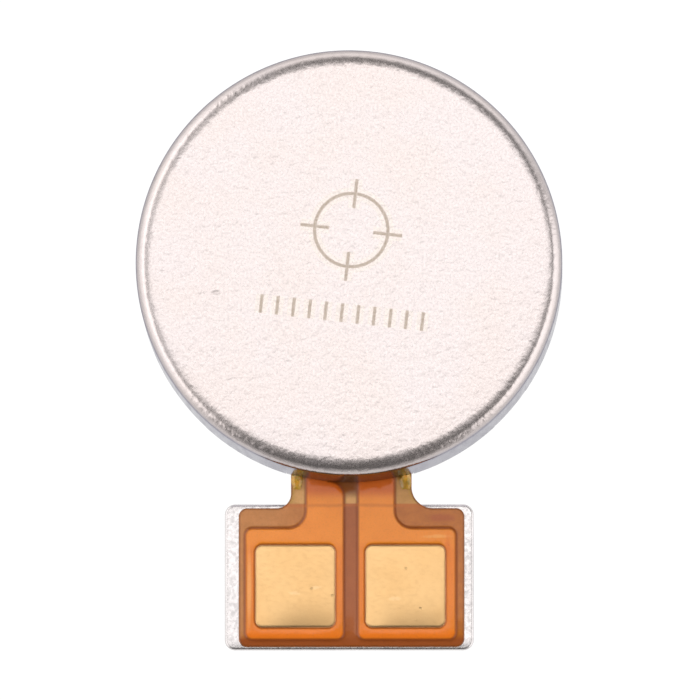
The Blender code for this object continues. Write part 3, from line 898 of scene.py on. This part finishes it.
def box_cutter(half_width, height, direction):
    """A block that cuts a notch of a width and height through the cup's wall."""
    near, far = CASE_RADIUS - 2 * SHEET, CASE_RADIUS + SHEET
    low = -SHEET
    shape = bmesh.new()
    bmesh.ops.create_cube(shape, size=1.0)
    turn = math.radians(direction)
    cos, sin = math.cos(turn), math.sin(turn)
    for vertex in shape.verts:
        x = (near + far) / 2 + vertex.co.x * (far - near)
        y = vertex.co.y * 2 * half_width
        z = (low + height) / 2 + vertex.co.z * (height - low)
        vertex.co = (x * cos - y * sin, x * sin + y * cos, z)
    mesh = bpy.data.meshes.new("cutter")
    shape.to_mesh(mesh)
    shape.free()
    return linked("cutter", mesh)


def cut_mesh(mesh, cutters):
    """The mesh after each cutter is taken away from it. The cutters are removed."""
    stock = linked("stock", mesh)
    for cutter in cutters:
        modifier = stock.modifiers.new("cut", "BOOLEAN")
        modifier.operation = "DIFFERENCE"
        modifier.solver = "EXACT"
        modifier.object = cutter
    return baked(stock, *cutters)


def shoulder_profile():
    """The cup's drawn edge: a slack arc that falls away from the face, then a tight one."""
    slack, tight, turn = 1.0 * MM, 0.28 * MM, math.radians(12)
    start = CASE_RADIUS - tight - (slack - tight) * math.sin(turn)
    upright = math.pi / 2
    points = arc((start, CASE_TOP - slack), slack, upright, upright - turn, math.radians(2.2))
    centre_z = CASE_TOP - slack + (slack - tight) * math.cos(turn)
    return points + arc((CASE_RADIUS - tight, centre_z), tight, upright - turn, 0.0)[1:]


def case_profile():
    """The cup's section: over the face, down the wall, round the rim and back inside."""
    inner, rim, step = CASE_RADIUS - SHEET, 0.02 * MM, math.radians(30)
    profile = [(radius * MM, CASE_TOP) for radius in (0.0, 1.5, 3.0, 4.0)]
    profile += shoulder_profile()
    profile += [(CASE_RADIUS, height * MM) for height in (2.2, 1.6, 1.0, 0.5, 0.3)]
    profile += arc((CASE_RADIUS - rim, rim), rim, 0.0, -math.pi / 2, step)
    profile += [(inner, 0.0), (inner, 0.3 * MM), (inner, 1.4 * MM)]
    ceiling = (CASE_RADIUS - CASE_ROUNDING, CASE_TOP - CASE_ROUNDING)
    profile += arc(ceiling, CASE_ROUNDING - SHEET, 0.0, math.pi / 2, step)
    return profile + [(2.5 * MM, CASE_TOP - SHEET), (0.0, CASE_TOP - SHEET)]


def make_case():
    """The drawn cup, with notches in its rim for the ears and the tail."""
    mesh = turned_mesh(case_profile(), 240)
    cutters = [box_cutter(NOTCH_HALF_WIDTH, NOTCH_HEIGHT, ear) for ear in EAR_DIRECTIONS]
    cutters.append(box_cutter(EXIT_HALF_WIDTH, EXIT_HEIGHT, TONGUE_DIRECTION))
    mesh = cut_mesh(mesh, cutters)
    add_piece("case_shell", "case", mesh, case_steel(), "housing", 28)


def make_bracket():
    """The base disc with its ears, and shallow weld dimples on the underside."""
    loop = resample(bracket_outline(), 0.09 * MM)
    edge, dimple_depth, dimple_circle = 0.02 * MM, 0.012 * MM, 4.55 * MM
    guides = [inset(loop, edge / 2), inset(loop, edge * 1.2)]
    dimples = []
    for direction in (*EAR_DIRECTIONS, 255.0, 285.0):
        angle = math.radians(direction)
        centre = (dimple_circle * math.cos(angle), dimple_circle * math.sin(angle))
        dimples.append(centre)
        guides += [np.array(circle(radius * MM, centre, 24)) for radius in (0.07, 0.13, 0.17)]
    flat, faces = triangulate(loop, [], guides, 0.3 * MM)
    drop = rounded_drop(distance_to(flat, loop), edge)
    bottom = drop
    for x, y in dimples:
        away = np.hypot(flat[:, 0] - x, flat[:, 1] - y)
        bottom = bottom + dimple_depth * smoothstep(0.17 * MM, 0.07 * MM, away)
    mesh = solid_from_sheet(flat, faces, SHEET - drop, bottom)
    colour = (0.60, 0.585, 0.61)
    steel = satin_metal("bracket_steel", colour, 0.2, 14.0, 0.0018, stretch=(1.0, 0.15, 1.0))
    add_piece("bracket_plate", "bracket", mesh, steel, "housing", 40)


def make_stiffener():
    """The plate under the tab, tumbled so that its edges are well rounded."""
    outline = rectangle(PLATE_LOW, PLATE_HIGH, 0.25 * MM)
    mesh = plate_mesh("stiffener_plate", [outline], 0.16 * MM, 0.08 * MM, 0.06 * MM, droops=False)
    steel = satin_metal("stiffener_steel", (0.70, 0.668, 0.663), 0.27, 11.0, 0.0022, dark=0.07)
    add_piece("stiffener", "stiffener_plate", mesh, steel, "flex_tail", 50)


def nearest(measure, flat, loops):
    """The least distance from each point to two loops, in millimetres."""
    return np.minimum(*[measure(flat, loop) for loop in loops]) / MM


def make_coverlay():
    """The cover film: raised over the copper, open over the pads and the solder lands."""
    outer = resample(flex_outline(), 0.06 * MM)
    copper = [resample(trace(), 0.05 * MM) for trace in (left_trace_outline, right_trace_outline)]
    windows = [resample(pad_outline(node, PAD_GAP), 0.05 * MM) for node in PADS]
    lands = [np.array(circle(LAND_WINDOW_RADIUS, (x, LAND_Y), 24)) for x in (-LAND_X, LAND_X)]
    hole = np.array(circle(LOBE_HOLE_RADIUS, count=48))
    guides = [inset(outer, depth * MM) for depth in (0.012, 0.035, 0.07)]
    depths = (0.04, 0.015, -0.012, -0.04)
    guides += [inset(loop, depth * MM) for loop in copper for depth in depths]
    guides += [inset(loop, -depth * MM) for loop in windows for depth in (0.01, 0.03, 0.06)]
    holes = [hole, *windows, *lands]
    flat, faces = triangulate(outer, holes, guides, 0.07 * MM, -4.7 * MM, 0.35 * MM)

    edges_mm = {
        "copper_mm": nearest(signed_distance, flat, copper),
        "film_edge_mm": distance_to(flat, outer) / MM,
        "window_mm": nearest(distance_to, flat, windows),
    }
    beyond_copper = edges_mm["copper_mm"]
    top = FILM_HIGH.z - 0.022 * MM * (1 - smoothstep(0.045, -0.04, beyond_copper))
    top = top - rounded_drop(edges_mm["film_edge_mm"] * MM, 0.03 * MM) * 0.7
    top = top - 0.014 * MM * smoothstep(0.045, 0.0, edges_mm["window_mm"])
    climb = COPPER_HIGH.z - BASE_HIGH.z
    bottom = BASE_HIGH.z + 0.003 * MM + climb * smoothstep(0.09, 0.03, beyond_copper)
    mesh = solid_from_sheet(flat, faces, top, bottom, **edges_mm)
    add_bending_piece("coverlay_film", "flex_coverlay", mesh, cover_film(), 50)


def bending_layer(name, node, outlines, material):
    """A thin layer of the tail, with enough rows across the neck to bend smoothly."""
    low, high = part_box(node)
    outer, *holes = [resample(outline, 0.08 * MM) for outline in outlines]
    rows = np.linspace(HINGE.y - BEND_HALF_LENGTH, HINGE.y + BEND_HALF_LENGTH, 7)
    columns = np.arange(outer[:, 0].min(), outer[:, 0].max(), 0.07 * MM)
    loose = np.array([(x, y) for y in rows for x in columns])
    keep = inside(loose, outer) & (distance_to(loose, outer) > 0.03 * MM)
    flat, faces = fill_region(outer, holes, [], loose[keep])
    top, bottom = np.full(len(flat), high.z), np.full(len(flat), low.z)
    mesh = solid_from_sheet(flat, faces, top, bottom)
    add_bending_piece(name, node, mesh, material, 40)


def make_lower_layers():
    outlines = [flex_outline(), circle(LOBE_HOLE_RADIUS, count=48)]
    bending_layer("base_film", "flex_base_film", outlines, base_film())
    colours = (0.85, 0.42, 0.24), (0.74, 0.33, 0.17)
    copper = cloudy("trace_copper", 12.0, colours, (0.3, 0.42), 0.002, (1.0, 0.2, 1.0),
                    rest=True, metallic=1.0)
    traces = {"trace_left": left_trace_outline(), "trace_right": right_trace_outline()}
    for node, outline in traces.items():
        bending_layer("copper_" + node, node, [outline], copper)


def make_adhesives():
    colours = (0.62, 0.52, 0.34), (0.50, 0.41, 0.25)
    glue = cloudy("adhesive_film", 2.0, colours, (0.45, 0.6), 0.004)
    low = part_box("flex_adhesive")[0]
    inner_end = lobe_arc() + [(NECK_LEFT, low.y), (NECK_RIGHT, low.y)]
    hole = circle(LOBE_HOLE_RADIUS, count=48)
    tab = rectangle(*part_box("stiffener_adhesive"), TAB_CORNER)
    for name, node, outlines, body in (
        ("bracket_adhesive", "flex_adhesive", [inner_end, hole], "housing"),
        ("tab_adhesive", "stiffener_adhesive", [tab], "flex_tail"),
    ):
        mesh = plate_mesh(node, outlines, 0.3 * MM, 0.3 * MM)
        add_piece(name, node, mesh, glue, body)


def waviness(flat, x_per_mm, y_per_mm, slice_at):
    """Smooth noise at each point of a flat region."""
    return np.array([
        noise.noise(Vector((x / MM * x_per_mm, y / MM * y_per_mm, slice_at))) for x, y in flat
    ])


def make_pads():
    """Gold pads: pillowed a little, wavy, and dropping to the film's window at their edge."""
    gold = plated_gold()
    edge, pillow, lifted, wave = 0.016 * MM, 0.012 * MM, 0.022 * MM, 0.004 * MM
    for number, node in enumerate(PADS):
        low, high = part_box(node)
        centre, half = (low + high) / 2, (high - low) / 2
        loop = resample(pad_outline(node, 0.014 * MM), 0.06 * MM)
        guides = rounding_guides(loop, edge, 3) + [inset(loop, 0.06 * MM)]
        flat, faces = triangulate(loop, [], guides, 0.07 * MM)
        across = (flat[:, 0] - centre.x) / half.x
        along = (flat[:, 1] - centre.y) / half.y
        top = high.z - 0.016 * MM + pillow * (1 - across**4) * (1 - np.abs(along) ** 3)
        top += lifted * np.clip(-along, 0, 1) ** 2 * np.clip(0.35 - across, 0, 1) ** 2
        top += wave * waviness(flat, 0.9, 0.9, 3.0 + 5.0 * number)
        top -= rounded_drop(distance_to(flat, loop), edge)
        bottom = np.full(len(flat), low.z)
        mesh = solid_from_sheet(flat, faces, top, bottom)
        add_piece("gold_" + node, node, mesh, gold, "flex_tail", 50)


def sealant_outline(side, edge):
    """A lumpy rounded square over the film's edge, narrower towards the tab."""
    outline = []
    count = 96
    for index in range(count):
        angle = math.tau * index / count
        rim = Vector((math.cos(angle), math.sin(angle), 0.0))
        wobble = 1 + 0.2 * noise.noise(rim * 1.7 + Vector((7.0 * side, 0.0, 0.0)))
        squared = (abs(rim.x) ** 3 + abs(rim.y) ** 3) ** (-1 / 3)
        taper = 1 - 0.3 * max(-rim.y, 0.0) ** 2
        x = edge - side * 0.14 * MM + 0.13 * MM * wobble * squared * taper * rim.x
        y = -4.97 * MM + 0.2 * MM * wobble * squared * rim.y
        outline.append((x, y))
    return np.array(outline)


def make_sealant():
    """Glue where the tail comes out: a wedge in the exit notch that climbs the wall a little."""
    resin = sealant_resin()
    height, climb, reach_out = 0.018 * MM, 0.15 * MM, 0.08 * MM
    for side, name, edge in ((-1, "left", NECK_LEFT), (1, "right", NECK_RIGHT)):
        loop = sealant_outline(side, edge)
        guides = [inset(loop, depth * MM) for depth in (0.01, 0.025, 0.05)]
        flat, faces = triangulate(loop, [], guides, 0.028 * MM)
        swell = smoothstep(0, 0.075 * MM, distance_to(flat, loop))
        from_wall = np.maximum(np.hypot(flat[:, 0], flat[:, 1]) - CASE_RADIUS, 0)
        rise = height + climb * np.exp(-from_wall / reach_out)
        rise = rise * (1 + 0.25 * waviness(flat, 6, 3, side))
        top = FILM_HIGH.z - 0.006 * MM + rise * swell
        base = np.full(len(flat), FILM_LOW.z - 0.01 * MM)
        mesh = solid_from_sheet(flat, faces, top, base)
        node = "exit_sealant_" + name
        add_piece("sealant_" + name, node, mesh, resin, "housing", 60)


# ---- the inside


def lathe_piece(name, node, corners, rounding, material, body, segments=96):
    mesh = turned_mesh(soften(corners, rounding), segments)
    add_piece(name, node, mesh, material, body)


def extent(node):
    """A turned node's outer radius, and its lowest and highest points."""
    low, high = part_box(node)
    return high.x, low.z, high.z


def block(inner, outer, low, high):
    """The section of a plain ring, or of a disc if its inner radius is 0."""
    return [(inner, high), (outer, high), (outer, low), (inner, low)]


def make_coil():
    """The wound ring with a groove between turns, the resin under it, and its two ends."""
    outer, low, high = extent("voice_coil")
    inner, wire = 2.1 * MM, 0.06 * MM
    turns = round((high - low) / wire)
    pitch = (high - low) / turns
    outside, inside_wall = [], []
    for turn in range(turns):
        middle = high - pitch * (turn + 0.5)
        for angle in map(math.radians, (60, 20, -20, -60)):
            reach = wire / 2 * (1 - math.cos(angle))
            height = middle + pitch / 2 * math.sin(angle)
            outside.append((outer - reach, height))
            inside_wall.append((inner + reach, height))
    mesh = turned_mesh(outside + inside_wall[::-1], 96)
    wire_finish = enamelled_wire(1 / (pitch / MM))
    add_piece("wound_coil", "voice_coil", mesh, wire_finish, "housing", 70)
    colours = (0.55, 0.42, 0.2), (0.42, 0.3, 0.13)
    resin = cloudy("bond_resin", 3.0, colours, (0.3, 0.42), 0.003,
                   coat_weight=0.6, coat_roughness=0.15, coat_ior=1.5)
    corners = block(inner, *extent("coil_bond"))
    lathe_piece("coil_bond_ring", "coil_bond", corners, 0.0, resin, "housing")
    solder = satin_metal("solder", (0.78, 0.78, 0.79), 0.22, 8.0, 0.004)
    for side, name in ((-1, "left"), (1, "right")):
        make_lead(side, name, wire_finish)
        make_solder(name, solder)


def make_lead(side, name, wire_finish):
    """A coil end that curves down from the coil to its solder joint."""
    low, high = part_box("coil_lead_" + name)
    radius = 0.034 * MM
    start_x = low.x + radius if side > 0 else high.x - radius
    end_x = high.x - radius if side > 0 else low.x + radius
    middle_z = (low.z + high.z) / 2 + (high.z - low.z) * 0.05
    spots = [
        (start_x, high.y - radius * 0.6, high.z - radius),
        ((start_x + end_x) / 2, (low.y + high.y) / 2, middle_z),
        (end_x, low.y + radius * 0.6, low.z + radius),
    ]
    route = bpy.data.curves.new("lead_route", "CURVE")
    route.dimensions = "3D"
    route.bevel_depth = radius
    route.bevel_resolution = 4
    route.resolution_u = 8
    route.use_fill_caps = True
    spline = route.splines.new("BEZIER")
    spline.bezier_points.add(len(spots) - 1)
    for point, spot in zip(spline.bezier_points, spots):
        point.co = spot
        point.handle_left_type = point.handle_right_type = "AUTO"
    mesh = baked(linked("lead_route", route))
    node = "coil_lead_" + name
    add_piece("lead_wire_" + name, node, mesh, wire_finish, "housing", 60)


def make_solder(name, solder):
    """A domed joint, steeper at its foot than a sphere."""
    low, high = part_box("solder_" + name)
    centre = (low + high) / 2
    profile = []
    for step in range(13):
        angle = math.pi / 2 * step / 12
        swell = math.cos(angle) ** 0.85
        radius = (high.x - centre.x) * math.sin(angle)
        profile.append((radius, low.z + (high.z - low.z) * swell))
    mesh = turned_mesh(profile + [(0.0, low.z)], 48)
    mesh.transform(Matrix.Translation((centre.x, centre.y, 0.0)))
    add_piece("solder_joint_" + name, "solder_" + name, mesh, solder, "housing", 50)


def make_moving_mass():
    """The pole plate, magnet, yoke and weight: turned metal that slides as one."""
    iron = satin_metal("soft_iron", (0.55, 0.55, 0.56), 0.36, 18.0, 0.002)
    nickel = satin_metal("magnet_nickel", (0.72, 0.69, 0.64), 0.2, 11.0, 0.002)
    tungsten = satin_metal("tungsten", (0.42, 0.41, 0.40), 0.42, 24.0, 0.003, dark=0.2)
    pole, magnet = block(0.0, *extent("pole_plate")), block(0.0, *extent("magnet"))
    outer, low, high = extent("yoke")
    wall, roof = outer - 0.3 * MM, high - 0.3 * MM
    yoke = [(0.0, high), (outer, high), (outer, low), (wall, low), (wall, roof), (0.0, roof)]
    bore, ledge = outer + 0.01 * MM, 4.32 * MM
    outer, low, high = extent("weight_ring")
    step = high - 0.1 * MM
    weight = [(bore, high), (ledge, high), (ledge, step), (outer, step), (outer, low), (bore, low)]
    for name, node, corners, rounding_mm, material, slot in (
        ("pole_disc", "pole_plate", pole, 0.04, iron, "soft_iron"),
        ("disc_magnet", "magnet", magnet, 0.08, nickel, "magnet_nickel"),
        ("yoke_cup", "yoke", yoke, 0.06, iron, "soft_iron"),
        ("tungsten_ring", "weight_ring", weight, 0.035, tungsten, "tungsten"),
    ):
        lathe_piece(name, node, corners, rounding_mm * MM, material, "moving_mass")


def make_dampers():
    foam = soft_foam()
    for node, body in (("lower_damper", "housing"), ("upper_damper", "moving_mass")):
        corners = block(0.0, *extent(node))
        lathe_piece(node + "_pad", node, corners, 0.03 * MM, foam, body, 64)


def spring_strip(hub, rim, rim_outer):
    """The spring's middle surface: a hub, three spiral arms that come down, and a rim."""
    hub_inner, hub_outer, rim_inner = 1.0 * MM, 1.55 * MM, 3.72 * MM
    arm_twist, steps, sectors, arms, arm_width = math.radians(150), 40, 144, 3, 18
    radii = [hub_inner, *np.linspace(hub_outer, rim_inner, steps + 1), rim_outer]
    twists = [0.0, *np.linspace(0.0, arm_twist, steps + 1), arm_twist]
    shape = bmesh.new()
    rings = []
    for radius, twist in zip(radii, twists):
        height = hub + (rim - hub) * float(smoothstep(hub_outer, rim_inner, radius))
        angles = [twist + math.tau * sector / sectors for sector in range(sectors)]
        spots = [(radius * math.cos(angle), radius * math.sin(angle), height) for angle in angles]
        rings.append([shape.verts.new(spot) for spot in spots])
    pitch = sectors // arms
    for row, (inner, outer) in enumerate(zip(rings, rings[1:])):
        whole = row in (0, len(rings) - 2)
        for sector in range(sectors):
            if whole or sector % pitch < arm_width:
                ahead = (sector + 1) % sectors
                shape.faces.new((inner[sector], outer[sector], outer[ahead], inner[ahead]))
    loose = [vertex for vertex in shape.verts if not vertex.link_faces]
    bmesh.ops.delete(shape, geom=loose, context="VERTS")
    mesh = bpy.data.meshes.new("spring_strip")
    shape.to_mesh(mesh)
    shape.free()
    return mesh


def make_spring():
    """The flat spring, welded to the case at its hub."""
    rim_outer, low, high = extent("flat_spring")
    thickness = 0.1 * MM
    hub, rim = high - thickness / 2, low + thickness / 2
    strip = linked("spring_strip", spring_strip(hub, rim, rim_outer))
    thicken = strip.modifiers.new("thickness", "SOLIDIFY")
    thicken.thickness = thickness
    thicken.offset = 0.0
    mesh = baked(strip)
    steel = satin_metal("spring_steel", (0.68, 0.66, 0.62), 0.24, 16.0, 0.0015)
    spring = add_piece("three_arm_spring", "flat_spring", mesh, steel, None, 40)
    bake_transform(spring)


# ---- studio and camera


def make_floor():
    """A plain ground that glows, so that it stays pale right up to the object."""
    bpy.ops.mesh.primitive_plane_add(size=3.0, location=(0.0, 0.0, FLOOR_HEIGHT))
    floor = bpy.context.object
    floor.name = "studio_floor"
    paper = Shader("studio_floor", base_color=(0.12, 0.12, 0.12, 1.0), roughness=0.8,
                   emission_color=(1.0, 1.0, 1.0, 1.0), emission_strength=0.93)
    floor.data.materials.append(paper.material)


def make_lights():
    """Soft studio light: a strip overhead, a panel at each side, and a dim front.
    Angles are in degrees."""
    world = bpy.data.worlds.new("studio")
    world.use_nodes = True
    bpy.context.scene.world = world
    n = Nodes(world.node_tree)
    x, y, z = n.split(n.add("TexCoord", {}, "Generated"))
    degrees = 1 / math.radians(1)
    lean_y = n.math("ARCTAN2", y, z) * degrees
    lean_x = n.math("ARCTAN2", x, z) * degrees
    height = n.math("ARCSINE", z) * degrees
    round_right = n.math("ARCTAN2", y, x) * degrees
    round_left = n.math("ARCTAN2", y, x * -1.0) * degrees

    slanted = lean_y - n.math("MINIMUM", lean_x, 0.0) * 0.4
    overhead = n.window(slanted, -1.5, 16.0, 5.5) * n.window(lean_x, -17.0, 18.5, 7.0)
    left = n.window(round_left, -45.0, 60.0, 18.0) * n.fall(height, 54.0, 70.0)
    left = left * n.remap(height, 22.0, 42.0, 1.25, 1.8)
    right = n.window(round_right, -50.0, 22.0, 18.0) * n.fall(height, 50.0, 64.0)
    right = right * n.remap(height, 22.0, 42.0, 1.4, 1.65)
    back = n.remap(y, 0.15, 0.75) * n.remap(height, 15.0, 65.0, 1.15, 0.0)
    front = n.remap(y, 0.1, -0.3) * n.remap(height, 12.0, 32.0, 0.45, 0.0)
    background = n.tree.nodes["Background"]
    background.inputs["Color"].default_value = (1.0, 0.985, 0.98, 1.0)
    strength = overhead * 2.02 + n.highest(left, right, back, front) + 0.13
    n.put(background.inputs["Strength"], strength)


def make_camera():
    """Almost straight down, leaning a little towards the tail, through a long lens."""
    distance, view_width = 0.5, 16.49 * MM
    lean, side = math.radians(4.3), math.radians(0.6)
    aim = Vector((-0.004 * MM, -1.845 * MM, 0.0))
    back = Vector((math.sin(side), -math.sin(lean), math.cos(lean))).normalized()
    right = Vector((0.0, 1.0, 0.0)).cross(back).normalized()
    data = bpy.data.cameras.new("camera")
    data.sensor_width = 36.0
    data.lens = data.sensor_width * distance / view_width
    data.clip_start = 0.01
    data.clip_end = 10.0
    camera = linked("camera", data)
    axes = Matrix((right, back.cross(right), back)).transposed()
    camera.matrix_world = Matrix.Translation(aim + back * distance) @ axes.to_4x4()
    bpy.context.scene.camera = camera
    bpy.context.scene.view_settings.view_transform = "Standard"


make_case()
make_bracket()
make_stiffener()
make_coverlay()
make_lower_layers()
make_adhesives()
make_pads()
make_sealant()
make_coil()
make_moving_mass()
make_dampers()
make_spring()
make_floor()
make_lights()
make_camera()
